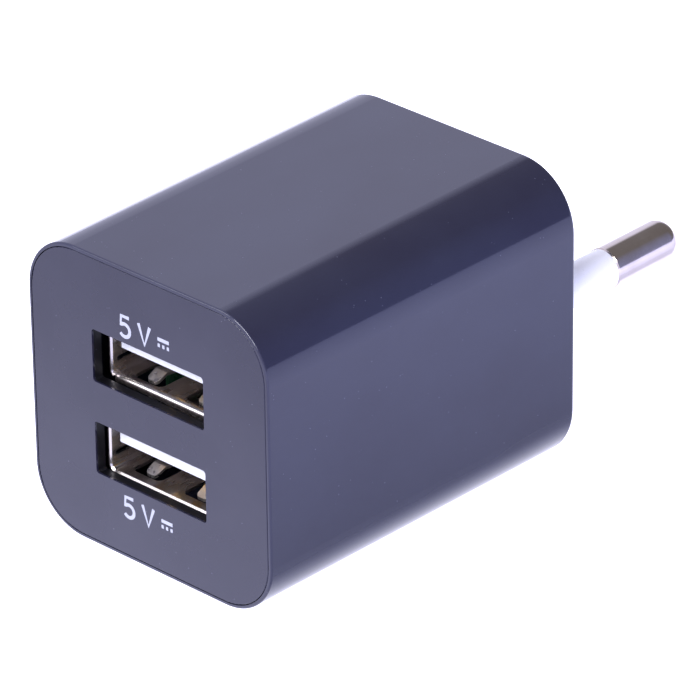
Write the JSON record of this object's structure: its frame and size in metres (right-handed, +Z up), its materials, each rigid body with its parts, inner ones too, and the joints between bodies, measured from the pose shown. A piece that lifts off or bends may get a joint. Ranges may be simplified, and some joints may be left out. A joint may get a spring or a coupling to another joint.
{
  "type": "usb wall charger",
  "caption": "Square-section mains charger with rounded long edges, round mains pins at the rear and stacked USB-A ports in the front plate.",
  "frame": {"origin": "centre of the flat rear face, between the two mains pins, whose axes lie 0.43 mm lower", "axes": "+Y along the pins into the wall socket, the USB ports face -Y, +X right as seen by somebody facing the ports, +Z up"},
  "size_m": [0.0296, 0.058, 0.0296],
  "materials": {
    "gloss_black_housing": "high gloss black plastic with a navy cast",
    "gloss_black_plate": "gloss black plastic, faintly textured",
    "nickel_pin": "bright nickel plating",
    "white_sleeve": "smooth white nylon",
    "nickel_steel_shell": "nickel-plated sheet steel",
    "white_insulator": "white moulded thermoplastic",
    "gilt_contact": "gilt spring bronze",
    "brass_blade": "brass",
    "green_laminate": "glass-epoxy laminate with green solder mask",
    "solder": "tin solder",
    "ferrite": "dark grey ferrite",
    "black_former": "black phenolic",
    "yellow_tape": "yellow polyester tape over copper",
    "tinned_wire": "tinned copper",
    "blue_ceramic": "blue dipped ceramic",
    "grey_resistor": "grey flameproof coating",
    "green_choke": "green sleeve",
    "clear_sheet": "translucent polyester film",
    "brown_can": "brown shrink sleeve",
    "black_can": "black shrink sleeve",
    "black_epoxy": "moulded epoxy",
    "chip_resistor_body": "black glaze on ceramic",
    "chip_ceramic": "tan ceramic"
  },
  "bodies": {
    "charger": {"housing_shell": "gloss_black_housing", "front_plate": "gloss_black_plate", "left_pin": "nickel_pin", "left_pin_sleeve": "white_sleeve", "left_pin_contact": "brass_blade", "right_pin": "nickel_pin", "right_pin_sleeve": "white_sleeve", "right_pin_contact": "brass_blade", "upper_port_shell": "nickel_steel_shell", "upper_port_tongue": "white_insulator", "upper_port_contact_tails": "gilt_contact", "lower_port_shell": "nickel_steel_shell", "lower_port_tongue": "white_insulator", "lower_port_contact_tails": "gilt_contact", "usb_board": "green_laminate", "main_board": "green_laminate", "board_joint_solder": "solder", "solder_joints": "solder", "transformer_core": "ferrite", "transformer_bobbin": "black_former", "transformer_winding": "yellow_tape", "transformer_pins": "tinned_wire", "safety_capacitor": "blue_ceramic", "capacitor_leads": "tinned_wire", "fusible_resistor": "grey_resistor", "input_choke": "green_choke", "axial_leads": "tinned_wire", "insulation_sheet": "clear_sheet", "rear_mains_capacitor": "brown_can", "front_mains_capacitor": "brown_can", "left_output_capacitor": "black_can", "right_output_capacitor": "black_can", "bridge_rectifier": "black_epoxy", "controller_chip": "black_epoxy", "output_diode": "black_epoxy", "charge_control_chip": "black_epoxy", "chip_leads": "tinned_wire", "chip_resistors": "chip_resistor_body", "chip_capacitors": "chip_ceramic"},
    "upper_tabs": {"upper_port_spring_tabs": "nickel_steel_shell"},
    "lower_tabs": {"lower_port_spring_tabs": "nickel_steel_shell"},
    "upper_contacts": {"upper_port_contact_beams": "gilt_contact"},
    "lower_contacts": {"lower_port_contact_beams": "gilt_contact"}
  },
  "joints": [
    {"name": "upper_tabs_flex", "type": "hinge", "parent": "charger", "child": "upper_tabs", "pos_m": [0, -0.02895, 0.00186], "axis": [1, 0, 0], "range_deg": [0, 3.5], "stiffness_Nm_per_rad": 0.25},
    {"name": "lower_tabs_flex", "type": "hinge", "parent": "charger", "child": "lower_tabs", "pos_m": [0, -0.02947, -0.00728], "axis": [1, 0, 0], "range_deg": [0, 3.5], "stiffness_Nm_per_rad": 0.25},
    {"name": "upper_contacts_flex", "type": "hinge", "parent": "charger", "child": "upper_contacts", "pos_m": [0, -0.0277, 0.00512], "axis": [-1, 0, 0], "range_deg": [0, 3], "stiffness_Nm_per_rad": 0.1},
    {"name": "lower_contacts_flex", "type": "hinge", "parent": "charger", "child": "lower_contacts", "pos_m": [0, -0.02822, -0.00402], "axis": [-1, 0, 0], "range_deg": [0, 3], "stiffness_Nm_per_rad": 0.1}
  ]
}
